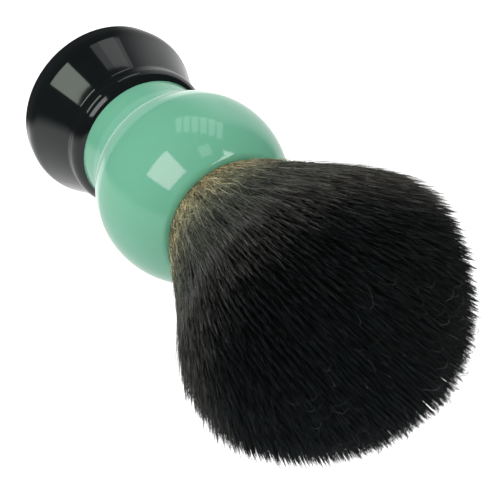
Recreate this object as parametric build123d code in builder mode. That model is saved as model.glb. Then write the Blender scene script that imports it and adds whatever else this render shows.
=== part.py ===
from build123d import *
import math
import os

# Shaving brush, standing on its foot. Millimetres, +Z up along its axis, and z = 0 is the face it stands on.
# Every piece is turned on that one axis, so each outline below lies in Plane.XZ as (radius, height).

# foot, turned in black resin
foot_base_r = 19.2          # outer corner of the standing face, before its edge is rounded
foot_rim_r = 20.1           # corner of the widest ring, before it is rounded
foot_rim_z = 5.0
foot_cove_r = 15.8          # narrowest place, where the flare meets the bead
foot_cove_z = 15.6
foot_bead_r = 16.3          # fullest place of the bead
foot_bead_z = 17.7
foot_top_z = 20.0
foot_base_round = 1.5
foot_rim_round = 5.0
foot_cove_round = 1.8

# green body: neck, ball and socket
neck_r = 14.8
ball_r = 20.0
ball_z = 40.5
crease_round = 0.8
mouth_z = 54.3              # flat top of the ball, round the socket
mouth_round = 1.6
socket_r = 13.1             # takes a 26 mm knot
socket_depth = 15.8
socket_edge_round = 0.4

# joint between the foot and the body
glue_gap = 0.15
spigot_r = 9.0
spigot_length = 4.0
stud_r = 4.0
stud_length = 24.0
stud_z = 6.5                # lower end of the stud
stud_chamfer = 0.6
glue_groove_depth = 0.4
glue_groove_width = 1.0
glue_groove_pitch = 3.0

# knot: hair roots set in resin, bound with thread, and the free hair above
plug_r = 12.7
plug_bed = 0.5              # glue under the plug
plug_length = 10.5
cord_r = 0.35               # cord wound round the roots
cord_pitch = 0.74
cord_turns = 5
channel_z = 2.5             # lower edge of the cord's channel, above the plug's lower face
glue_rim_drop = 1.5         # glue stops this far below the top of the plug
hair_mouth_r = 12.9
hair_side_r = 27.0          # end of the straight side
hair_side_z = 83.6
hair_wide_r = 28.9
hair_wide_z = 89.5
hair_top_z = 112.5
quarter_arc = 0.5523        # handle length that makes a Bezier curve a quarter of an ellipse

# heights and radii that follow from the sizes above
body_z = foot_top_z + glue_gap
socket_z = mouth_z - socket_depth
plug_z = socket_z + plug_bed
plug_top_z = plug_z + plug_length
channel_r = plug_r - 2 * cord_r
channel_width = (cord_turns + 1) * cord_pitch
mouth_r = math.sqrt(ball_r**2 - (mouth_z - ball_z) ** 2)
neck_top_z = ball_z - math.sqrt(ball_r**2 - neck_r**2)
stud_top_z = stud_z + stud_length
bore_r = stud_r + glue_gap
foot_bore_z = stud_z - glue_gap
foot_recess_r = spigot_r + glue_gap
foot_recess_z = foot_top_z - spigot_length
spigot_z = body_z - spigot_length
body_bore_z = stud_top_z + glue_gap

os.makedirs("parts", exist_ok=True)


def corner(r, z):
    """The corner of the sketch in progress that lies nearest to radius r and height z."""
    return vertices().sort_by_distance((r, z, 0))[0]


# Foot: flat base, rounded rim, straight flare, cove and bead, bored for the spigot and the stud.
with BuildPart() as foot:
    with BuildSketch(Plane.XZ):
        with BuildLine():
            Polyline((0, foot_top_z), (0, 0), (foot_base_r, 0), (foot_rim_r, foot_rim_z))
            Line((foot_rim_r, foot_rim_z), (foot_cove_r, foot_cove_z))
            ThreePointArc((foot_cove_r, foot_cove_z), (foot_bead_r, foot_bead_z), (neck_r, foot_top_z))
            Line((neck_r, foot_top_z), (0, foot_top_z))
        make_face()
        fillet(corner(foot_base_r, 0), foot_base_round)
        fillet(corner(foot_rim_r, foot_rim_z), foot_rim_round)
        fillet(corner(foot_cove_r, foot_cove_z), foot_cove_round)
    revolve(axis=Axis.Z)
    with BuildSketch(Plane.XY.offset(foot_recess_z)):
        Circle(foot_recess_r)
    extrude(amount=spigot_length, mode=Mode.SUBTRACT)
    with BuildSketch(Plane.XY.offset(foot_bore_z)):
        Circle(bore_r)
    extrude(amount=foot_recess_z - foot_bore_z, mode=Mode.SUBTRACT)
foot.part.label = "foot"
export_step(foot.part, "parts/foot.step")

# Body: straight neck, ball cut flat at the top, a spigot below for the foot and a socket above for the knot.
with BuildPart() as handle_body:
    with BuildSketch(Plane.XZ):
        with BuildLine():
            Polyline((0, mouth_z), (0, body_z), (neck_r, body_z), (neck_r, neck_top_z))
            ThreePointArc((neck_r, neck_top_z), (ball_r, ball_z), (mouth_r, mouth_z))
            Line((mouth_r, mouth_z), (0, mouth_z))
        make_face()
        fillet(corner(neck_r, neck_top_z), crease_round)
        fillet(corner(mouth_r, mouth_z), mouth_round)
    revolve(axis=Axis.Z)
    with BuildSketch(Plane.XY.offset(spigot_z)):
        Circle(spigot_r)
    extrude(amount=spigot_length)
    with BuildSketch(Plane.XY.offset(spigot_z)):
        Circle(bore_r)
    extrude(amount=body_bore_z - spigot_z, mode=Mode.SUBTRACT)
    with BuildSketch(Plane.XY.offset(socket_z)):
        Circle(socket_r)
    extrude(amount=socket_depth, mode=Mode.SUBTRACT)
    mouth_circles = edges().filter_by(GeomType.CIRCLE).group_by(Axis.Z)[-1]
    fillet(mouth_circles.sort_by(SortBy.RADIUS)[0], socket_edge_round)
handle_body.part.label = "handle_body"
export_step(handle_body.part, "parts/handle_body.step")

# Stud: a plain steel pin across the joint, with grooves that the glue keys into.
with BuildPart() as joining_stud:
    with BuildSketch(Plane.XY.offset(stud_z)):
        Circle(stud_r)
    extrude(amount=stud_length)
    chamfer(edges().filter_by(GeomType.CIRCLE), stud_chamfer)
    groove_count = int((stud_length - 2 * glue_groove_pitch) / glue_groove_pitch) + 1
    for turn in range(groove_count):
        with BuildSketch(Plane.XY.offset(stud_z + (turn + 1) * glue_groove_pitch - glue_groove_width / 2)):
            Circle(stud_r)
            Circle(stud_r - glue_groove_depth, mode=Mode.SUBTRACT)
        extrude(amount=glue_groove_width, mode=Mode.SUBTRACT)
joining_stud.part.label = "joining_stud"
export_step(joining_stud.part, "parts/joining_stud.step")

# Glue of the foot joint: it fills the gap round the stud, round the spigot and between the two end faces.
with BuildPart() as joint_glue:
    with BuildSketch(Plane.XY.offset(foot_bore_z)):
        Circle(bore_r)
    extrude(amount=body_bore_z - foot_bore_z)
    with BuildSketch(Plane.XY.offset(foot_recess_z)):
        Circle(foot_recess_r)
    extrude(amount=body_z - foot_recess_z)
    with BuildSketch(Plane.XY.offset(foot_top_z)):
        Circle(neck_r - glue_gap)
    extrude(amount=glue_gap)
    with BuildSketch(Plane.XY.offset(spigot_z)):
        Circle(spigot_r)
        Circle(bore_r, mode=Mode.SUBTRACT)
    extrude(amount=spigot_length, mode=Mode.SUBTRACT)
    add(joining_stud.part, mode=Mode.SUBTRACT)
joint_glue.part.label = "joint_glue"
export_step(joint_glue.part, "parts/joint_glue.step")

# Binding: one cord wound tightly round the hair roots, in a channel of the plug.
with BuildPart() as binding_cord:
    with BuildLine(Plane.XY.offset(plug_z + channel_z + cord_pitch / 2)):
        winding = Helix(pitch=cord_pitch, height=cord_turns * cord_pitch, radius=plug_r - cord_r)
    with BuildSketch(Plane(origin=winding @ 0, z_dir=winding % 0)):
        Circle(cord_r)
    sweep(path=winding, is_frenet=True)
binding_cord.part.label = "binding_cord"
export_step(binding_cord.part, "parts/binding_cord.step")

# Plug: the hair roots set solid in resin, with a channel for the cord.
with BuildPart() as knot_plug:
    with BuildSketch(Plane.XY.offset(plug_z)):
        Circle(plug_r)
    extrude(amount=plug_length)
    with BuildSketch(Plane.XY.offset(plug_z + channel_z)):
        Circle(plug_r)
        Circle(channel_r, mode=Mode.SUBTRACT)
    extrude(amount=channel_width, mode=Mode.SUBTRACT)
knot_plug.part.label = "knot_plug"
export_step(knot_plug.part, "parts/knot_plug.step")

# Socket glue: a bed under the plug and a sleeve round it.
with BuildPart() as socket_glue:
    with BuildSketch(Plane.XY.offset(socket_z)):
        Circle(socket_r)
    extrude(amount=plug_bed + plug_length - glue_rim_drop)
    with BuildSketch(Plane.XY.offset(plug_z)):
        Circle(plug_r)
    extrude(amount=plug_length, mode=Mode.SUBTRACT)
socket_glue.part.label = "socket_glue"
export_step(socket_glue.part, "parts/socket_glue.step")

# Hair: the free part of the knot as one plain solid, straight at the side and domed on top.
with BuildPart() as knot_hair:
    with BuildSketch(Plane.XZ):
        with BuildLine():
            Polyline((0, hair_top_z), (0, plug_top_z), (plug_r, plug_top_z), (hair_mouth_r, mouth_z))
            side = Line((hair_mouth_r, mouth_z), (hair_side_r, hair_side_z))
            TangentArc(side @ 1, (hair_wide_r, hair_wide_z), tangent=side % 1)
            Bezier(
                (hair_wide_r, hair_wide_z),
                (hair_wide_r, hair_wide_z + quarter_arc * (hair_top_z - hair_wide_z)),
                (quarter_arc * hair_wide_r, hair_top_z),
                (0, hair_top_z),
            )
        make_face()
    revolve(axis=Axis.Z)
knot_hair.part.label = "knot_hair"
export_step(knot_hair.part, "parts/knot_hair.step")
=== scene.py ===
import math
import bpy
import numpy as np
from mathutils import Euler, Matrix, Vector


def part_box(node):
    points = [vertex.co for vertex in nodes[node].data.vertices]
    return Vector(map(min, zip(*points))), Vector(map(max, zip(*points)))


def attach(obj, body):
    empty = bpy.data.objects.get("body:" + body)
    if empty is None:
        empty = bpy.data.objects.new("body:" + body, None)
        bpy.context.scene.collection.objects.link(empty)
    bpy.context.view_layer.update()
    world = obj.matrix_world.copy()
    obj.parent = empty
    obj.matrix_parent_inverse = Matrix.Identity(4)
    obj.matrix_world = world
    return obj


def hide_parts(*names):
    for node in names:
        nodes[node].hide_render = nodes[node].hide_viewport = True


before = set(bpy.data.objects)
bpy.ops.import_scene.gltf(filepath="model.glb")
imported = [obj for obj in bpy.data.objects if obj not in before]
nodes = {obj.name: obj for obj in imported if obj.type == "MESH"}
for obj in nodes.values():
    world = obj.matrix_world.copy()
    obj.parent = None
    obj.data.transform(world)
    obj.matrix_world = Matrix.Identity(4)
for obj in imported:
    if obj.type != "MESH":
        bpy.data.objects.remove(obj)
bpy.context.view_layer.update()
mm = 0.001

# Heights and radii that everything else hangs on
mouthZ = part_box("handle_body")[1].z
mouthAboveBall = 13.8 * mm  # from the ball's middle up to its flat top
ballCentre = Vector((0, 0, mouthZ - mouthAboveBall))
plugTopZ, hairTopZ = (corner.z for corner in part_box("knot_hair"))
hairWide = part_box("knot_hair")[1].x

cameraSet = {
    "lens": 92,
    "distance": 262.8 * mm,  # along the view axis, from the ball's middle
    "tilt": 43.0,  # degrees below the horizon
    "roll": 132.8,  # puts the foot at the upper left
    "aside": 11.7 * mm,  # how far the view axis passes beside the ball's middle
    "below": 10.5 * mm,
}


def addCamera(s):
    turn = Euler((math.radians(90 - s["tilt"]), 0, 0)).to_matrix()
    turn = turn @ Euler((0, 0, math.radians(s["roll"]))).to_matrix()
    aim = ballCentre + turn @ Vector((s["aside"], -s["below"], 0))
    data = bpy.data.cameras.new("camera")
    data.lens = s["lens"]
    data.clip_start = 0.01
    camera = bpy.data.objects.new("camera", data)
    bpy.context.scene.collection.objects.link(camera)
    camera.matrix_world = turn.to_4x4()
    camera.location = aim + turn @ Vector((0, 0, s["distance"]))
    bpy.context.scene.camera = camera


addCamera(cameraSet)
print("camera placed")


def newMaterial(name):
    mat = bpy.data.materials.new(name)
    mat.use_nodes = True
    tree = mat.node_tree
    return mat, tree, tree.nodes["Principled BSDF"]


def addNode(tree, kind, inputs=None, **values):
    # inputs holds plain values and sockets to link, by socket name or number
    node = tree.nodes.new(kind)
    for key, value in values.items():
        setattr(node, key, value)
    for key, value in (inputs or {}).items():
        if isinstance(value, bpy.types.NodeSocket):
            tree.links.new(value, node.inputs[key])
        else:
            node.inputs[key].default_value = value
    return node


def sums(tree, operation, a, b=0.0, c=0.0):
    return addNode(tree, "ShaderNodeMath", {0: a, 1: b, 2: c}, operation=operation).outputs[0]


def ramp(tree, value, stops):
    node = addNode(tree, "ShaderNodeValToRGB", {"Fac": value})
    while len(node.color_ramp.elements) < len(stops):
        node.color_ramp.elements.new(0.5)
    for element, (place, colour) in zip(node.color_ramp.elements, stops):
        element.position = place
        element.color = (*colour, 1)
    return node.outputs["Color"]


def newGroup(name, inputs, outputs):
    tree = bpy.data.node_groups.new(name, "ShaderNodeTree")
    for label, kind in inputs:
        tree.interface.new_socket(label, in_out="INPUT", socket_type=kind)
    for label, kind in outputs:
        tree.interface.new_socket(label, in_out="OUTPUT", socket_type=kind)
    return tree, tree.nodes.new("NodeGroupInput"), tree.nodes.new("NodeGroupOutput")


def twoToneGroup():
    # soft clouds of two colours of one stuff
    tree, into, out = newGroup(
        "two tones",
        [("Light", "NodeSocketColor"), ("Deep", "NodeSocketColor"), ("Scale", "NodeSocketFloat")],
        [("Color", "NodeSocketColor"), ("Mask", "NodeSocketFloat")],
    )
    coord = addNode(tree, "ShaderNodeTexCoord")
    cloud = addNode(tree, "ShaderNodeTexNoise", {
        "Vector": coord.outputs["Object"], "Scale": into.outputs["Scale"], "Detail": 4.0, "Roughness": 0.55,
    })
    spread = addNode(tree, "ShaderNodeMapRange", {
        "Value": cloud.outputs["Fac"], "From Min": 0.3, "From Max": 0.7,
    })
    mix = addNode(tree, "ShaderNodeMix", {
        0: spread.outputs[0], 6: into.outputs["Deep"], 7: into.outputs["Light"],
    }, data_type="RGBA")
    tree.links.new(mix.outputs[2], out.inputs["Color"])
    tree.links.new(spread.outputs[0], out.inputs["Mask"])
    return tree


def latheGroup():
    # what turning and polishing leave: faint rings round the axis, and smudges
    tree, into, out = newGroup(
        "lathe finish",
        [("Rough", "NodeSocketFloat"), ("Smudge", "NodeSocketFloat"), ("Ring Scale", "NodeSocketFloat")],
        [("Roughness", "NodeSocketFloat"), ("Height", "NodeSocketFloat")],
    )
    coord = addNode(tree, "ShaderNodeTexCoord")
    flat = addNode(tree, "ShaderNodeVectorMath", {
        0: coord.outputs["Object"], 1: (0.02, 0.02, 1.0),
    }, operation="MULTIPLY")
    rings = addNode(tree, "ShaderNodeTexNoise", {
        "Vector": flat.outputs[0], "Scale": into.outputs["Ring Scale"], "Detail": 2.0,
    })
    smudge = addNode(tree, "ShaderNodeTexNoise", {
        "Vector": coord.outputs["Object"], "Scale": 160.0, "Detail": 5.0, "Roughness": 0.65,
    })
    centred = sums(tree, "SUBTRACT", smudge.outputs["Fac"], 0.5)
    rough = sums(tree, "MULTIPLY_ADD", centred, into.outputs["Smudge"], into.outputs["Rough"])
    tree.links.new(rough, out.inputs["Roughness"])
    tree.links.new(rings.outputs["Fac"], out.inputs["Height"])
    return tree


twoTone = twoToneGroup()
lathe = latheGroup()


def useTwoTone(tree, light, deep, scale):
    node = addNode(tree, "ShaderNodeGroup", None, node_tree=twoTone)
    node.inputs["Light"].default_value = (*light, 1)
    node.inputs["Deep"].default_value = (*deep, 1)
    node.inputs["Scale"].default_value = scale
    return node.outputs["Color"], node.outputs["Mask"]


def useLathe(tree, bsdf, s):
    node = addNode(tree, "ShaderNodeGroup", None, node_tree=lathe)
    node.inputs["Rough"].default_value = s["rough"]
    node.inputs["Smudge"].default_value = s["smudge"]
    node.inputs["Ring Scale"].default_value = s["rings"]
    tree.links.new(node.outputs["Roughness"], bsdf.inputs["Roughness"])
    bump = addNode(tree, "ShaderNodeBump", {
        "Height": node.outputs["Height"], "Strength": s["bump"], "Distance": s["depth"],
    })
    tree.links.new(bump.outputs[0], bsdf.inputs["Normal"])


def paint(obj, mat):
    obj.data.materials.clear()
    obj.data.materials.append(mat)


greenSet = {
    "light": (0.158, 0.448, 0.298),
    "deep": (0.146, 0.424, 0.278),
    "clouds": 70,
    "rough": 0.085,
    "smudge": 0.05,
    "rings": 3000,
    "bump": 0.02,
    "depth": 0.02 * mm,
}
blackSet = {
    "light": (0.0058, 0.0080, 0.0086),
    "deep": (0.0042, 0.0058, 0.0066),
    "clouds": 90,
    "rough": 0.085,
    "smudge": 0.05,
    "rings": 3000,
    "bump": 0.02,
    "depth": 0.02 * mm,
}
steelSet = {
    "light": (0.58, 0.57, 0.55),
    "deep": (0.42, 0.41, 0.39),
    "clouds": 500,
    "rough": 0.32,
    "smudge": 0.25,
    "rings": 5000,
    "bump": 0.25,
    "depth": 0.03 * mm,
}


def turnedMaterial(name, s, metallic=0.0):
    mat, tree, bsdf = newMaterial(name)
    colour, _ = useTwoTone(tree, s["light"], s["deep"], s["clouds"])
    tree.links.new(colour, bsdf.inputs["Base Color"])
    bsdf.inputs["Metallic"].default_value = metallic
    bsdf.inputs["IOR"].default_value = 1.5
    useLathe(tree, bsdf, s)
    return mat


glueSet = {
    "light": (0.82, 0.66, 0.36),
    "deep": (0.62, 0.44, 0.18),
    "clouds": 300,
    "bubbles": 1400,
}


def glueMaterial(s):
    mat, tree, bsdf = newMaterial("amber epoxy")
    colour, mask = useTwoTone(tree, s["light"], s["deep"], s["clouds"])
    tree.links.new(colour, bsdf.inputs["Base Color"])
    rough = addNode(tree, "ShaderNodeMapRange", {"Value": mask, "To Min": 0.10, "To Max": 0.28})
    tree.links.new(rough.outputs[0], bsdf.inputs["Roughness"])
    coord = addNode(tree, "ShaderNodeTexCoord")
    cells = addNode(tree, "ShaderNodeTexVoronoi", {
        "Vector": coord.outputs["Object"], "Scale": s["bubbles"],
    })
    pit = addNode(tree, "ShaderNodeMapRange", {
        "Value": cells.outputs["Distance"], "From Min": 0.10, "From Max": 0.22,
    })
    bump = addNode(tree, "ShaderNodeBump", {
        "Height": pit.outputs[0], "Strength": 0.4, "Distance": 0.1 * mm,
    })
    tree.links.new(bump.outputs[0], bsdf.inputs["Normal"])
    bsdf.inputs["Transmission Weight"].default_value = 0.5
    bsdf.inputs["IOR"].default_value = 1.55
    return mat


plugSet = {
    "resinLight": (0.36, 0.22, 0.09),
    "resinDeep": (0.22, 0.12, 0.045),
    "hair": (0.02, 0.017, 0.014),
    "clouds": 400,
    "roots": 6500,  # hair roots for each metre
}


def plugMaterial(s):
    # cut hair roots, set close together in resin
    mat, tree, bsdf = newMaterial("rooted resin")
    colour, mask = useTwoTone(tree, s["resinLight"], s["resinDeep"], s["clouds"])
    coord = addNode(tree, "ShaderNodeTexCoord")
    tall = addNode(tree, "ShaderNodeVectorMath", {
        0: coord.outputs["Object"], 1: (1.0, 1.0, 0.04),
    }, operation="MULTIPLY")
    cells = addNode(tree, "ShaderNodeTexVoronoi", {"Vector": tall.outputs[0], "Scale": s["roots"]})
    root = addNode(tree, "ShaderNodeMapRange", {
        "Value": cells.outputs["Distance"], "From Min": 0.30, "From Max": 0.42, "To Min": 1.0, "To Max": 0.0,
    })
    mix = addNode(tree, "ShaderNodeMix", {
        0: root.outputs[0], 6: colour, 7: (*s["hair"], 1),
    }, data_type="RGBA")
    tree.links.new(mix.outputs[2], bsdf.inputs["Base Color"])
    rough = addNode(tree, "ShaderNodeMapRange", {"Value": root.outputs[0], "To Min": 0.22, "To Max": 0.55})
    tree.links.new(rough.outputs[0], bsdf.inputs["Roughness"])
    bump = addNode(tree, "ShaderNodeBump", {
        "Height": root.outputs[0], "Strength": 0.3, "Distance": 0.05 * mm,
    })
    tree.links.new(bump.outputs[0], bsdf.inputs["Normal"])
    return mat


cordSet = {
    # light is the cord's colour on the strand crests; deep is painted shade for the grooves between strands
    "light": (0.66, 0.60, 0.47),
    "deep": (0.42, 0.36, 0.25),
    "twists": 130,  # strands crossed on one turn round the knot
    "lean": 2200,  # how steeply they lie, for each metre of height
}


def cordMaterial(s):
    # three-strand cotton: slanting strands with fuzz, and painted shade that darkens the grooves between
    # strands
    mat, tree, bsdf = newMaterial("waxed cotton cord")
    coord = addNode(tree, "ShaderNodeTexCoord")
    split = addNode(tree, "ShaderNodeSeparateXYZ", {0: coord.outputs["Object"]})
    angle = sums(tree, "ARCTAN2", split.outputs["Y"], split.outputs["X"])
    climb = sums(tree, "MULTIPLY", split.outputs["Z"], s["lean"])
    phase = sums(tree, "MULTIPLY_ADD", angle, float(s["twists"]), climb)
    strand = sums(tree, "MULTIPLY_ADD", sums(tree, "SINE", phase), 0.5, 0.5)
    fuzz = addNode(tree, "ShaderNodeTexNoise", {
        "Vector": coord.outputs["Object"], "Scale": 5000.0, "Detail": 3.0,
    })
    height = sums(tree, "MULTIPLY_ADD", fuzz.outputs["Fac"], 0.5, strand)
    # painted shade: the deep colour follows the low parts of the strand height, the grooves
    mix = addNode(tree, "ShaderNodeMix", {
        0: sums(tree, "MULTIPLY", height, 0.7), 6: (*s["deep"], 1), 7: (*s["light"], 1),
    }, data_type="RGBA")
    tree.links.new(mix.outputs[2], bsdf.inputs["Base Color"])
    rough = addNode(tree, "ShaderNodeMapRange", {"Value": height, "To Min": 0.85, "To Max": 0.6})
    tree.links.new(rough.outputs[0], bsdf.inputs["Roughness"])
    bump = addNode(tree, "ShaderNodeBump", {"Height": height, "Strength": 0.6, "Distance": 0.08 * mm})
    tree.links.new(bump.outputs[0], bsdf.inputs["Normal"])
    return mat


paint(nodes["handle_body"], turnedMaterial("green cast resin", greenSet))
paint(nodes["foot"], turnedMaterial("black cast resin", blackSet))
paint(nodes["joining_stud"], turnedMaterial("turned steel", steelSet, metallic=1.0))
for name in ("joint_glue", "socket_glue"):
    paint(nodes[name], glueMaterial(glueSet))
paint(nodes["knot_plug"], plugMaterial(plugSet))
paint(nodes["binding_cord"], cordMaterial(cordSet))
print("handle and knot fittings painted")

knotSet = {
    "rootRadius": 13.0 * mm,  # outermost hairs where they leave the socket
    "splay": 0.475,  # outward run of the outermost hairs for each unit of rise
    "wideZ": hairTopZ - 25.0 * mm,  # height of the widest ring
    "wide": hairWide + 0.2 * mm,
    "domeFlat": 2.3,  # higher is a squarer shoulder
    "domeSteep": 1.65,
    "rootDrop": 2.5 * mm,  # hairs start this far down in the socket
    "splayDrop": 0.7 * mm,  # and begin to splay this far down
    "strandRadius": 0.075 * mm,
    "toneSpan": 60 * mm,  # height over which the hair's colour runs from root to tip
    "seed": 11,
}
shapeSet = {
    "fuller": 0.022,  # share by which the widest ring is wider
    "fullerSwing": 0.026,
    "fullerSide": -10,  # degrees round from +X
    "taller": 0.7 * mm,
    "tallerSwing": 1.6 * mm,
    "tallerSide": 140,
    "lumps": [  # degrees round, spread in degrees, how far they stand out
        (103, 20, 1.4 * mm),
        (158, 11, -1.3 * mm),
        (188, 13, 1.3 * mm),
        (2, 11, 1.1 * mm),
        (-16, 9, -0.9 * mm),
    ],
    "lumpShare": 0.7,
    "lumpRise": (20 * mm, 45 * mm),  # heights above the mouth between which lumps set in
    "fullerRise": (14 * mm, 38 * mm),
    "outerPower": 1.5,  # how strongly they keep to the outermost hairs
}
dice = np.random.RandomState(knotSet["seed"])


def domeTable(s, steps=200):
    # for hairs at a share q of the bundle's radius: how far they rise,
    # how far out they end, and the arc from the crown
    q = np.linspace(0, 1, steps)
    low = np.zeros(steps)
    high = np.full(steps, hairTopZ - mouthZ)
    for _ in range(40):
        h = (low + high) / 2
        r = q * (s["rootRadius"] + s["splay"] * h)
        lift = np.clip(1 - (r / s["wide"]) ** s["domeFlat"], 0, 1) ** (1 / s["domeSteep"])
        inside = mouthZ + h < s["wideZ"] + (hairTopZ - s["wideZ"]) * lift
        low = np.where(inside, h, low)
        high = np.where(inside, high, h)
    r = q * (s["rootRadius"] + s["splay"] * h)
    arc = np.concatenate([[0], np.cumsum(np.hypot(np.diff(r), np.diff(h)))])
    return q, h, r, arc


def wave(along, size, period):
    # side steps along each hair, none at its root
    count = len(along)
    phase = dice.uniform(0, 2 * math.pi, (count, 1))
    pace = dice.uniform(0.65, 1.4, (count, 1))
    reach = dice.normal(0, size, (count, 1))
    start = along[:, :1]
    return reach * (np.sin(2 * math.pi * pace * (along - start) / period + phase) - np.sin(phase))


def hairMesh(name, paths, thick, tone, rise, point=2.5):
    # paths: hairs x points x 3. Three-sided tapered strands, closed at both ends.
    count, points, _ = paths.shape
    rings = points - 1
    along = np.gradient(paths, axis=1)
    along /= np.linalg.norm(along, axis=2, keepdims=True) + 1e-12
    anyWay = dice.normal(size=(count, 1, 3))
    across = np.cross(along, anyWay)
    across /= np.linalg.norm(across, axis=2, keepdims=True) + 1e-12
    other = np.cross(along, across)
    taper = 1 - np.linspace(0, 1, points) ** point
    width = thick[:, None] * taper[None, :rings]
    corners = []
    for side in range(3):
        a = 2 * math.pi * side / 3
        corners.append(math.cos(a) * across[:, :rings] + math.sin(a) * other[:, :rings])
    ring = paths[:, :rings, None] + np.stack(corners, 2) * width[..., None, None]
    verts = np.concatenate([ring.reshape(count, rings * 3, 3), paths[:, -1:]], 1)
    perHair = rings * 3 + 1
    quads = []
    for k in range(rings - 1):
        for side in range(3):
            nxt = (side + 1) % 3
            quads.append([3 * k + side, 3 * k + nxt, 3 * k + 3 + nxt, 3 * k + 3 + side])
    last = 3 * (rings - 1)
    tris = [[last + side, last + (side + 1) % 3, perHair - 1] for side in range(3)]
    tris.append([2, 1, 0])
    loops = np.array([v for f in quads + tris for v in f])
    sizes = np.array([4] * len(quads) + [3] * len(tris))
    shift = (np.arange(count) * perHair)[:, None]
    allLoops = (loops[None] + shift).ravel()
    allSizes = np.tile(sizes, count)
    starts = np.concatenate([[0], np.cumsum(allSizes)[:-1]])
    mesh = bpy.data.meshes.new(name)
    mesh.vertices.add(count * perHair)
    mesh.vertices.foreach_set("co", verts.astype(np.float32).ravel())
    mesh.loops.add(len(allLoops))
    mesh.loops.foreach_set("vertex_index", allLoops.astype(np.int32))
    mesh.polygons.add(len(allSizes))
    mesh.polygons.foreach_set("loop_start", starts.astype(np.int32))
    mesh.polygons.foreach_set("use_smooth", np.ones(len(allSizes), bool))
    uv = mesh.uv_layers.new(name="strand")
    riseAt = np.concatenate([np.repeat(rise[:, :rings], 3, 1), rise[:, -1:]], 1)
    toneAt = np.repeat(tone[:, None], perHair, 1)
    both = np.stack([toneAt.ravel()[allLoops], riseAt.ravel()[allLoops]], 1)
    uv.data.foreach_set("uv", both.astype(np.float32).ravel())
    mesh.update()
    mesh.validate()
    obj = bpy.data.objects.new(name, mesh)
    bpy.context.scene.collection.objects.link(obj)
    return obj


def bulge(paths):
    # makes the bundle uneven: fuller to one side, higher to another, with a few lumps
    radius = np.hypot(paths[:, :, 0], paths[:, :, 1])
    angle = np.arctan2(paths[:, :, 1], paths[:, :, 0])
    level = paths[:, :, 2] - mouthZ
    s = shapeSet
    fuller = s["fuller"] + s["fullerSwing"] * np.cos(angle - math.radians(s["fullerSide"]))
    taller = s["taller"] + s["tallerSwing"] * np.cos(angle - math.radians(s["tallerSide"]))
    lump = 0
    for side, spread, height in s["lumps"]:
        off = np.degrees(np.angle(np.exp(1j * (angle - math.radians(side)))))
        lump = lump + height * np.exp(-((off / spread) ** 2))
    outer = smooth(level, *s["lumpRise"]) * (radius / knotSet["wide"]) ** s["outerPower"]
    grow = 1 + fuller * smooth(level, *s["fullerRise"]) + s["lumpShare"] * lump * outer / knotSet["wide"]
    paths[:, :, 0] *= grow
    paths[:, :, 1] *= grow
    paths[:, :, 2] += (taller + s["lumpShare"] * lump) * outer
    return paths


def sharedPieces(name, number, mat, paths, thick, tone, share, point=2.5):
    # one bundle cut into several pieces, each small enough for its own file
    paths = bulge(paths)
    made = []
    for n, rows in enumerate(np.array_split(np.arange(len(paths)), number)):
        piece = hairMesh(f"{name}_{n + 1}", paths[rows], thick[rows], tone[rows], share[rows], point)
        paint(piece, mat)
        made.append(piece)
    return made


def polar(radius, angle, z):
    return np.stack([radius * np.cos(angle), radius * np.sin(angle), z], -1)


def scatter(a, b):
    # a steady random number from 0 to 1 for each pair
    return np.modf(np.abs(np.sin(a * 127.1 + b * 311.7) * 43758.5))[0]


def gather(x, y, cell):
    # middle of the tuft that a point belongs to, in a grid of cells with jittered middles
    i = np.floor(x / cell)
    j = np.floor(y / cell)
    return (i + 0.2 + 0.6 * scatter(i, j)) * cell, (j + 0.2 + 0.6 * scatter(j + 7, i)) * cell


def smooth(x, low, high):
    t = np.clip((x - low) / (high - low), 0, 1)
    return t * t * (3 - 2 * t)


table = domeTable(knotSet)
domeSet = {
    "hairs": 32000,
    "pieces": 4,
    "segments": 4,
    "shown": 9.0 * mm,  # length of each tip that is built, down from its end
    "ragged": 0.16 * mm,
    "tuft": 0.8 * mm,
    "pull": 0.35,
    "loose": (0.30, 0.70),  # shares of the arc from the crown between which the pointed tufts set in
    "looseTuft": 1.25 * mm,
    "loosePull": 0.90,
    "looseRagged": 2.2 * mm,
    "sharp": 1.1,  # how much the tufts come to a point
    "pale": (0.62, 1.00),  # and between which the colour turns to that of the sides
    "crownShare": (0.86, 1.00),  # stretch of the colour run that the built part shows
    "rimShare": (0.55, 0.78),
    "sway": 0.10 * mm,
    "swayPeriod": 9 * mm,
    "thickness": (0.75, 1.15),
    "point": 2.2,  # lower tapers sooner
}


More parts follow.
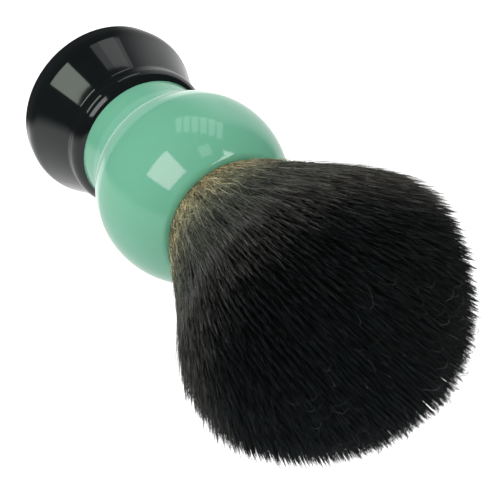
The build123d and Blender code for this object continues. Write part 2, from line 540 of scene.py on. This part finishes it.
def growDome(s, mat):
    q, h, r, arc = table
    count = s["hairs"]
    area = np.concatenate([[0], np.cumsum((r[1:] + r[:-1]) / 2 * np.diff(arc))])
    pick = dice.uniform(0, 1, count) * area[-1]
    angle = dice.uniform(0, 2 * math.pi, count)
    arcAt = np.interp(pick, area, arc)
    loose = smooth(arcAt / arc[-1], *s["loose"])
    flatX = arcAt * np.cos(angle)
    flatY = arcAt * np.sin(angle)
    tuftX, tuftY = gather(flatX, flatY, s["tuft"])
    bigX, bigY = gather(flatX, flatY, s["looseTuft"])
    pull = s["pull"] * (1 - loose)
    loosePull = s["loosePull"] * loose
    tipX = flatX + (tuftX - flatX) * pull + (bigX - flatX) * loosePull
    tipY = flatY + (tuftY - flatY) * pull + (bigY - flatY) * loosePull
    tipArc = np.hypot(tipX, tipY)
    tipAngle = np.arctan2(tipY, tipX)
    rag = dice.normal(0, s["ragged"], count)
    away = np.hypot(bigX - flatX, bigY - flatY) / s["looseTuft"]
    uneven = scatter(bigX / mm, bigY / mm) - 0.5 + s["sharp"] * (0.2 - away)
    rag += uneven * s["looseRagged"] * loose
    qRoot = np.interp(arcAt, arc, q)
    rise = np.interp(arcAt, arc, h) + rag
    t = np.linspace(0, 1, s["segments"] + 1)[None]
    start = rise - s["shown"]
    level = start[:, None] + (rise - start)[:, None] * t
    qTip = np.interp(tipArc, arc, q)
    qAt = qRoot[:, None] + (qTip - qRoot)[:, None] * t ** 1.5
    turn = np.angle(np.exp(1j * (tipAngle - angle)))
    angleAt = angle[:, None] + turn[:, None] * t ** 1.5
    radius = qAt * (knotSet["rootRadius"] + knotSet["splay"] * level)
    paths = polar(radius, angleAt, mouthZ + level)
    for axis in range(2):
        paths[:, :, axis] += wave(level, s["sway"], s["swayPeriod"])
    thick = knotSet["strandRadius"] * dice.uniform(*s["thickness"], count)
    tone = dice.uniform(0, 1, count)
    edge = smooth(arcAt / arc[-1], *s["pale"])[:, None]
    fromShare = s["crownShare"][0] + (s["rimShare"][0] - s["crownShare"][0]) * edge
    toShare = s["crownShare"][1] + (s["rimShare"][1] - s["crownShare"][1]) * edge
    share = fromShare + (toShare - fromShare) * t
    return sharedPieces("hair_dome", s["pieces"], mat, paths, thick, tone, share, s["point"])


sideSet = {
    "hairs": 4700,
    "pieces": 3,
    "segments": 20,
    "layer": 0.11,  # share of the bundle's radius that the side hairs take up
    "early": 0.35,  # share of the hairs that end below the shoulder
    "tuft": 2.4 * mm,
    "pull": 0.55,
    "crimp": 0.34 * mm,  # tight waves near the root, and how far up they last
    "crimpPeriod": 4.5 * mm,
    "crimpFade": 14 * mm,
    "sway": 0.30 * mm,
    "swayPeriod": 17 * mm,
    "lean": 0.045,  # radians that a hair wanders round the brush by its tip
    "flare": 1.3 * mm,  # how far the hairs that end early stand off at most
    "astray": 0.05,  # share of the hairs that stand off further
    "astrayReach": (0.8, 2.0),  # mm
    "swirls": ((0.05, 7, 1.3), (0.03, 17, 0)),  # radians, waves round the knot, phase
    "thickness": (0.75, 1.15),
}


def growSide(s, mat):
    q, h, r, arc = table
    count = s["hairs"]
    angle = dice.uniform(0, 2 * math.pi, count)
    qRoot = 1 - s["layer"] * dice.uniform(0, 1, count) ** 1.6
    full = np.interp(qRoot, q, h) + dice.normal(0, 0.7 * mm, count)
    early = dice.uniform(0, 1, count) < s["early"]
    rise = np.where(early, full * dice.uniform(0.30, 1.0, count), full)
    t = np.linspace(0, 1, s["segments"] + 1)[None] ** 1.45
    level = -knotSet["rootDrop"] + (rise + knotSet["rootDrop"])[:, None] * t
    up = np.clip(level + knotSet["splayDrop"], 0, None)
    meet = hairWide * angle
    tuftX, _ = gather(meet, np.zeros(count), s["tuft"])
    turn = (tuftX - meet) / hairWide * s["pull"]
    swirl = sum(size * np.sin(angle * waves + phase) for size, waves, phase in s["swirls"])
    swirl = swirl * dice.uniform(0.4, 1.2, count) + dice.normal(0, s["lean"], count)
    radius = qRoot[:, None] * (knotSet["rootRadius"] + knotSet["splay"] * up)
    fade = np.exp(-up / s["crimpFade"])
    sideStep = wave(level, s["crimp"], s["crimpPeriod"]) * fade + wave(level, s["sway"], s["swayPeriod"])
    free = smooth(level, -1 * mm, 3 * mm)
    angleAt = angle[:, None] + (turn + swirl)[:, None] * t ** 1.4 + sideStep * free / radius
    loose = np.where(early, s["flare"] * dice.uniform(0, 1, count) ** 1.5, dice.normal(0, 0.25 * mm, count))
    astray = dice.uniform(0, 1, count) < s["astray"]
    loose = np.where(astray, dice.uniform(*s["astrayReach"], count) * mm, loose)
    outStep = wave(level, s["crimp"] * 0.5, s["crimpPeriod"]) * fade + wave(level, 0.12 * mm, 14 * mm)
    radius = radius + loose[:, None] * t ** 2 + outStep * smooth(level, 0, 3 * mm)
    paths = polar(radius, angleAt, mouthZ + level)
    thick = knotSet["strandRadius"] * dice.uniform(*s["thickness"], count)
    tone = dice.uniform(0, 1, count)
    share = level / knotSet["toneSpan"]
    return sharedPieces("hair_side", s["pieces"], mat, paths, thick, tone, share)


rootSet = {
    "hairs": 1600,
    "pieces": 1,
    "segments": 20,
    "reach": (7 * mm, 24 * mm),  # how far up these short outer hairs go
    "crimp": 0.40 * mm,
    "crimpPeriod": 4.2 * mm,
    "sway": 0.3 * mm,
    "swayPeriod": 11 * mm,
    "lean": 0.16,
    "standOff": 0.10 * mm,
    "standOffPeriod": 5 * mm,
    "thickness": (0.7, 1.0),
    "tone": (0.35, 1),
}


def growRoot(s, mat):
    # short crimped hairs that cross over the others near the socket
    count = s["hairs"]
    angle = dice.uniform(0, 2 * math.pi, count)
    qRoot = dice.uniform(0.975, 1.0, count)
    rise = dice.uniform(*s["reach"], count)
    t = np.linspace(0, 1, s["segments"] + 1)[None]
    level = -knotSet["rootDrop"] + (rise + knotSet["rootDrop"])[:, None] * t
    up = np.clip(level + knotSet["splayDrop"], 0, None)
    radius = qRoot[:, None] * (knotSet["rootRadius"] + knotSet["splay"] * up)
    free = smooth(level, -0.5 * mm, 3 * mm)
    sideStep = wave(level, s["crimp"], s["crimpPeriod"]) + wave(level, s["sway"], s["swayPeriod"])
    drift = dice.normal(0, s["lean"], count)[:, None] * t ** 1.2
    angleAt = angle[:, None] + drift * free + sideStep * free / radius
    radius = radius + (wave(level, s["standOff"], s["standOffPeriod"]) + s["standOff"]) * free
    paths = polar(radius, angleAt, mouthZ + level)
    thick = knotSet["strandRadius"] * dice.uniform(*s["thickness"], count)
    tone = dice.uniform(*s["tone"], count)
    share = level / knotSet["toneSpan"]
    return sharedPieces("hair_root", s["pieces"], mat, paths, thick, tone, share)


straySet = {
    "hairs": 150,
    "pieces": 1,
    "segments": 14,
    "length": (1.6 * mm, 4.2 * mm),
    "under": 1.2 * mm,  # how deep the hidden end lies
    "heading": 0.45,  # radians that they set off from straight outward
    "curl": 0.40,  # radians that a stray hair turns on its way
    "tone": (0.86, 0.93),  # stretch of the colour run that they take their colour from
    "start": (0.02, 0.27),  # where they set off; the power spreads them away from the crown
    "startPower": 0.6,
    "above": 0.1 * mm,  # how far they lie over the dome
    "dip": 0.4 * mm,  # how far their tips go back in
    "thickness": (0.7, 1.1),
}


def growStray(s, mat):
    # single paler hairs that lie over the dome
    q, h, r, arc = table
    count = s["hairs"]
    angle = dice.uniform(0, 2 * math.pi, count)
    arcAt = arc[-1] * dice.uniform(*s["start"], count) ** s["startPower"]
    heading = dice.normal(0, s["heading"], count)
    curl = dice.normal(0, s["curl"], count)
    length = dice.uniform(*s["length"], count)
    t = np.linspace(0, 1, s["segments"] + 1)[None]
    way = heading[:, None] + curl[:, None] * t
    step = length[:, None] / s["segments"]
    outward = np.cumsum(np.cos(way) * step, 1)
    aside = np.cumsum(np.sin(way) * step, 1)
    arcPath = np.clip(arcAt[:, None] + outward, 0, arc[-1])
    radius = np.interp(arcPath, arc, r)
    height = np.interp(arcPath, arc, h)
    depth = s["under"] * (1 - smooth(t, 0, 0.5)) - s["above"] + s["dip"] * smooth(t, 0.7, 1)
    angleAt = angle[:, None] + aside / np.clip(radius, 3 * mm, None)
    paths = polar(radius, angleAt, mouthZ + height - depth)
    thick = knotSet["strandRadius"] * dice.uniform(*s["thickness"], count)
    tone = dice.uniform(0, 1, count)
    share = dice.uniform(*s["tone"], count)[:, None] + 0 * t
    return sharedPieces("hair_stray", s["pieces"], mat, paths, thick, tone, share)


hairSet = {
    "stops": [  # colour up the hair, from the socket to the tip
        (0.00, (0.37, 0.29, 0.15)),
        (0.09, (0.36, 0.33, 0.20)),
        (0.19, (0.19, 0.195, 0.135)),
        (0.30, (0.100, 0.106, 0.085)),
        (0.42, (0.098, 0.101, 0.088)),
        (0.60, (0.116, 0.116, 0.106)),
        (0.77, (0.096, 0.096, 0.089)),
        (0.85, (0.018, 0.023, 0.025)),
        (1.00, (0.0080, 0.0125, 0.0140)),
    ],
    "stagger": 0.16,  # how unevenly the colour changes from hair to hair
    "dark": 0.35,  # brightness of the darkest hairs
    "pale": 1.55,  # and what the palest have on top
}


def hairMaterial(s):
    mat, tree, bsdf = newMaterial("dark hair")
    uvMap = addNode(tree, "ShaderNodeUVMap", uv_map="strand")
    split = addNode(tree, "ShaderNodeSeparateXYZ", {0: uvMap.outputs["UV"]})
    tone = split.outputs["X"]
    shift = sums(tree, "MULTIPLY_ADD", tone, s["stagger"], -s["stagger"] / 2)
    place = sums(tree, "SUBTRACT", split.outputs["Y"], shift)
    colour = ramp(tree, place, s["stops"])
    other = sums(tree, "FRACT", sums(tree, "MULTIPLY", tone, 37.0))
    squared = sums(tree, "MULTIPLY", other, other)
    bright = sums(tree, "MULTIPLY_ADD", squared, s["pale"], s["dark"])
    coord = addNode(tree, "ShaderNodeTexCoord")
    patch = addNode(tree, "ShaderNodeTexNoise", {
        "Vector": coord.outputs["Object"], "Scale": 420.0, "Detail": 3.0,
    })
    uneven = addNode(tree, "ShaderNodeMapRange", {
        "Value": patch.outputs["Fac"], "From Min": 0.3, "From Max": 0.7, "To Min": 0.55, "To Max": 1.4,
    })
    both = sums(tree, "MULTIPLY", bright, uneven.outputs[0])
    scaled = addNode(tree, "ShaderNodeVectorMath", {0: colour, 3: both}, operation="SCALE")
    tree.links.new(scaled.outputs[0], bsdf.inputs["Base Color"])
    rough = addNode(tree, "ShaderNodeMapRange", {
        "Value": split.outputs["Y"], "From Min": 0.1, "From Max": 0.9, "To Min": 0.40, "To Max": 0.62,
    })
    tree.links.new(rough.outputs[0], bsdf.inputs["Roughness"])
    bsdf.inputs["IOR"].default_value = 1.5
    return mat


coreSet = {
    "inset": 1.5 * mm,  # how far the dark body stays under the hair's surface
    "topDrop": 5.5 * mm,
    "rings": 12,
    "sides": 96,
    # painted shade: these near-black tones stand in for the shadowed depths of the hair, not its own colour
    "light": (0.006, 0.006, 0.006),
    "deep": (0.002, 0.002, 0.002),
    "clouds": 900,
}


def addCore(s, mat):
    # dark body under the strands, painted shade of the knot's shadowed depths, so that no light comes through
    # between them
    q, h, r, arc = table
    side = [(k / s["rings"], k / s["rings"] * (h[-1] - 2 * mm)) for k in range(s["rings"] + 1)]
    outline = [(knotSet["rootRadius"] + knotSet["splay"] * up - s["inset"] * (0.6 + share), mouthZ + up)
               for share, up in side]
    crown = len(q) // s["rings"]
    outline += [(r[k] * 0.93, mouthZ + h[k] - s["topDrop"]) for k in range(len(q) - crown, 0, -crown)]
    radius = outline[0][0]
    bpy.ops.object.select_all(action="DESELECT")
    bpy.ops.mesh.primitive_cylinder_add(
        vertices=s["sides"], radius=radius, depth=mouthZ - plugTopZ, location=(0, 0, (mouthZ + plugTopZ) / 2))
    core = bpy.context.object
    core.name = "hair_core"
    bpy.ops.object.transform_apply(location=True)
    core.data.polygons.foreach_set("select", [face.normal.z > 0.5 for face in core.data.polygons])
    core.data.edges.foreach_set("select", [False] * len(core.data.edges))
    core.data.vertices.foreach_set("select", [False] * len(core.data.vertices))
    bpy.ops.object.mode_set(mode="EDIT")
    bpy.ops.mesh.select_mode(type="FACE")
    height = mouthZ
    for nextRadius, nextHeight in outline[1:]:
        bpy.ops.mesh.extrude_region_move(TRANSFORM_OT_translate={"value": (0, 0, nextHeight - height)})
        grow = nextRadius / radius
        bpy.ops.transform.resize(value=(grow, grow, 1), center_override=(0, 0, nextHeight))
        radius, height = nextRadius, nextHeight
    bpy.ops.mesh.poke()
    bpy.ops.mesh.select_all(action="SELECT")
    bpy.ops.mesh.normals_make_consistent(inside=False)
    bpy.ops.object.mode_set(mode="OBJECT")
    bpy.ops.object.shade_smooth_by_angle(angle=math.radians(50))
    core.select_set(False)
    paint(core, mat)
    return core


def coreMaterial(s):
    # painted shade: near-black body standing in for the shadowed inside of the knot
    mat, tree, bsdf = newMaterial("painted hair depth shade")
    colour, mask = useTwoTone(tree, s["light"], s["deep"], s["clouds"])
    tree.links.new(colour, bsdf.inputs["Base Color"])
    rough = addNode(tree, "ShaderNodeMapRange", {"Value": mask, "To Min": 0.7, "To Max": 0.9})
    tree.links.new(rough.outputs[0], bsdf.inputs["Roughness"])
    bsdf.inputs["Specular IOR Level"].default_value = 0.1
    return mat


hairPaint = hairMaterial(hairSet)
hairPieces = growDome(domeSet, hairPaint)
print("dome hairs grown")
hairPieces += growSide(sideSet, hairPaint)
hairPieces += growRoot(rootSet, hairPaint)
print("side and root hairs grown")
hairPieces += growStray(straySet, hairPaint)
print("stray hairs laid over the dome")
hairPieces.append(addCore(coreSet, coreMaterial(coreSet)))
for piece in hairPieces:
    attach(piece, "root")
    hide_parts("knot_hair")
print("hair set on the body")

stageSet = {
    "floorGlow": 0.55,
    "worldFill": 0.62,
    "bright": 1.05,  # surroundings as the gloss sees them
    "dark": 0.06,
    "floorMiddle": -2,  # degrees round from the front to the middle of the dark sector
    "floorHalf": (54, 64),  # half widths to the two sides of the middle
    "floorBlend": (7, 20),
    "worldMiddle": -39,
    "worldHalf": (94, 94),
    "worldBlend": (7, 7),
    "seen": 1.0,  # floor as the camera sees it
    "far": (90 * mm, 330 * mm),  # where the floor's pattern gives way to the room's
}


def darkSector(tree, vector, middle, halves, blends):
    # strength seen in gloss: dark for a sector round the front, bright elsewhere
    split = addNode(tree, "ShaderNodeSeparateXYZ", {0: vector})
    front = sums(tree, "MULTIPLY", split.outputs["Y"], -1.0)
    angle = sums(tree, "ARCTAN2", split.outputs["X"], front)
    turned = sums(tree, "SUBTRACT", angle, math.radians(middle))
    wrapped = sums(tree, "WRAP", turned, math.pi, -math.pi)
    sides = []
    for sign, half, blend in zip((1.0, -1.0), halves, blends):
        sides.append(addNode(tree, "ShaderNodeMapRange", {
            "Value": sums(tree, "MULTIPLY", wrapped, sign),
            "From Min": math.radians(half - blend),
            "From Max": math.radians(half + blend),
            "To Min": stageSet["dark"],
            "To Max": stageSet["bright"],
        }, interpolation_type="SMOOTHSTEP").outputs[0])
    return sums(tree, "MAXIMUM", *sides)


def glossSwitch(tree, shown, mirrored):
    # one value for the camera and soft light, another for reflections
    path = addNode(tree, "ShaderNodeLightPath")
    return addNode(tree, "ShaderNodeMix", {
        0: path.outputs["Is Glossy Ray"], 2: shown, 3: mirrored,
    }, data_type="FLOAT").outputs[0]


def cameraSwitch(tree, others, seen):
    path = addNode(tree, "ShaderNodeLightPath")
    return addNode(tree, "ShaderNodeMix", {
        0: path.outputs["Is Camera Ray"], 2: others, 3: seen,
    }, data_type="FLOAT").outputs[0]


def fadeBetween(tree, value, span):
    return addNode(tree, "ShaderNodeMapRange", {
        "Value": value, "From Min": span[0], "From Max": span[1],
    }, interpolation_type="SMOOTHSTEP").outputs[0]


def addStage():
    bpy.ops.object.select_all(action="DESELECT")
    bpy.ops.mesh.primitive_plane_add(size=8, location=(0, 0, 0))
    floor = bpy.context.object
    floor.name = "floor"
    mat, tree, bsdf = newMaterial("floor")
    coord = addNode(tree, "ShaderNodeTexCoord")
    spot = coord.outputs["Object"]
    distance = addNode(tree, "ShaderNodeVectorMath", {0: spot}, operation="LENGTH").outputs["Value"]
    sector = darkSector(tree, spot, stageSet["floorMiddle"], stageSet["floorHalf"], stageSet["floorBlend"])
    room = darkSector(tree, spot, stageSet["worldMiddle"], stageSet["worldHalf"], stageSet["worldBlend"])
    far = fadeBetween(tree, distance, stageSet["far"])
    pattern = addNode(tree, "ShaderNodeMix", {0: far, 2: sector, 3: room}, data_type="FLOAT")
    soft = glossSwitch(tree, stageSet["floorGlow"], pattern.outputs[0])
    glow = addNode(tree, "ShaderNodeEmission", {"Strength": cameraSwitch(tree, soft, stageSet["seen"])})
    matt = addNode(tree, "ShaderNodeBsdfDiffuse", {"Color": (0.8, 0.8, 0.8, 1)})
    both = addNode(tree, "ShaderNodeAddShader", {0: glow.outputs[0], 1: matt.outputs[0]})
    path = addNode(tree, "ShaderNodeLightPath")
    pick = addNode(tree, "ShaderNodeMixShader", {
        0: path.outputs["Is Glossy Ray"], 1: both.outputs[0], 2: glow.outputs[0],
    })
    tree.links.new(pick.outputs[0], tree.nodes["Material Output"].inputs["Surface"])
    tree.nodes.remove(bsdf)
    paint(floor, mat)


def addWorld():
    world = bpy.data.worlds.new("studio")
    world.use_nodes = True
    bpy.context.scene.world = world
    tree = world.node_tree
    coord = addNode(tree, "ShaderNodeTexCoord")
    spot = coord.outputs["Generated"]
    sector = darkSector(tree, spot, stageSet["worldMiddle"], stageSet["worldHalf"], stageSet["worldBlend"])
    soft = glossSwitch(tree, stageSet["worldFill"], sector)
    back = tree.nodes["Background"]
    tree.links.new(cameraSwitch(tree, soft, stageSet["seen"]), back.inputs["Strength"])
    back.inputs["Color"].default_value = (1, 1, 1, 1)


def panel(name, place, facing, width, height, glow, colour=(1, 1, 1), only=None, roll=0.0):
    # a soft box that the camera doesn't see and that lights only the given pieces,
    # in their gloss alone unless visible_diffuse is switched on afterwards
    data = bpy.data.lights.new(name, "AREA")
    data.shape = "RECTANGLE"
    data.size = width
    data.size_y = height
    data.energy = glow * math.pi * width * height
    data.color = colour
    light = bpy.data.objects.new(name, data)
    bpy.context.scene.collection.objects.link(light)
    look = (Vector(facing) - Vector(place)).to_track_quat("-Z", "Y")
    light.rotation_euler = (look.to_matrix() @ Euler((0, 0, roll)).to_matrix()).to_euler()
    light.location = place
    light.visible_camera = False
    light.visible_diffuse = False
    if only:
        lit = bpy.data.collections.new(name + " lights")
        for obj in only:
            lit.objects.link(obj)
        light.light_linking.receiver_collection = lit
    return light


handle = nodes["handle_body"]
foot = nodes["foot"]


keySet = {
    "size": 0.30,
    "watts": 1.6,
    "place": (0.05, -0.50, 0.45),
    "facing": (0, 0, 0.06),
}


def addKey(s):
    # soft light from the front that leaves no mark in the gloss
    data = bpy.data.lights.new("key", "AREA")
    data.size = s["size"]
    data.energy = s["watts"]
    key = bpy.data.objects.new("key", data)
    bpy.context.scene.collection.objects.link(key)
    key.location = s["place"]
    key.rotation_euler = (Vector(s["facing"]) - key.location).to_track_quat("-Z", "Y").to_euler()
    key.visible_camera = False
    key.visible_glossy = False


stripSet = {
    "count": 6,
    "place": (-42.3 * mm, -35.5 * mm, 37.3 * mm),
    "facing": (-9.0 * mm, -15.5 * mm, 47.0 * mm),
    "first": (-17 * mm, -12 * mm),  # middle of the first strip, across and up in the strips' plane
    "step": (5.4 * mm, 4.4 * mm),
    "tilt": 131,  # degrees from across to the first strip's length
    "tiltStep": -3.4,
    "length": 20 * mm,
    "width": 5.4 * mm,
    "glow": 1.7,
    "coreWidth": 2.2 * mm,
    "coreGlow": 2.9,
}


def addStrips(s):
    # a row of tubes, low at the left, seen in the ball
    place = Vector(s["place"])
    ahead = (Vector(s["facing"]) - place).normalized()
    across = ahead.cross(Vector((0, 0, -1))).normalized()
    up = across.cross(-ahead).normalized()
    for k in range(s["count"]):
        a = math.radians(s["tilt"] + s["tiltStep"] * k)
        middle = place + across * (s["first"][0] + s["step"][0] * k) + up * (s["first"][1] + s["step"][1] * k)
        for name, width, glow in (("tube", "width", "glow"), ("tube middle", "coreWidth", "coreGlow")):
            panel(name, middle, middle + ahead, s["length"], s[width], s[glow], only=[handle], roll=-a)


# place, facing, width and height in millimetres; facing is a point that the panel looks at
panelSet = [
    {"name": "window", "place": (13, -110, 69), "facing": (13, 0, 69), "width": 60, "height": 66,
     "glow": 6.0, "colour": (1, 0.74, 0.84), "only": [handle]},
    {"name": "low window", "place": (5.2, -45, 5.0), "facing": (5.2, 0, 5.0), "width": 19.5, "height": 8.4,
     "glow": 3.8, "colour": (0.90, 1, 0.87), "only": [foot]},
    {"name": "bead window", "place": (13, -110, 69), "facing": (13, 0, 69), "width": 60, "height": 66,
     "glow": 4.0, "only": [foot]},
    {"name": "low tubes", "place": (-28.5, -31, 3), "facing": (-10, -14.5, 8), "width": 20, "height": 10,
     "glow": 0.85, "only": [foot]},
    {"name": "low tube", "place": (-29.5, -30, 3), "facing": (-10, -14.5, 8), "width": 11, "height": 10,
     "glow": 0.5, "only": [foot]},
    {"name": "small lamp", "place": (-45, -56, 69), "facing": (-6.9, -15, 51.8), "width": 16, "height": 16,
     "glow": 1.6, "only": [handle]},
    {"name": "rim lamp", "place": (-60, -30, 108), "facing": (-8, -12, 54), "width": 22, "height": 70,
     "glow": 6.0, "only": [handle]},
    {"name": "bright floor", "place": (0, 0, 24.8), "facing": (0, 0.001, 1000), "width": 44, "height": 44,
     "glow": 0.46, "only": [handle], "shape": "DISK"},
    {"name": "warm side", "place": (-400, -150, 60), "facing": (0, 0, 75), "width": 300, "height": 300,
     "glow": 2.6, "colour": (1, 0.80, 0.60), "only": hairPieces, "diffuse": True},
]


def addPanels(rows):
    for row in rows:
        place = [x * mm for x in row["place"]]
        facing = [x * mm for x in row["facing"]]
        light = panel(row["name"], place, facing, row["width"] * mm, row["height"] * mm, row["glow"],
                      colour=row.get("colour", (1, 1, 1)), only=row["only"])
        light.data.shape = row.get("shape", "RECTANGLE")
        light.visible_diffuse = row.get("diffuse", False)


addStage()
addWorld()
addKey(keySet)
addPanels(panelSet)
addStrips(stripSet)
bpy.context.scene.view_settings.view_transform = "Standard"
print("stage and lights set")
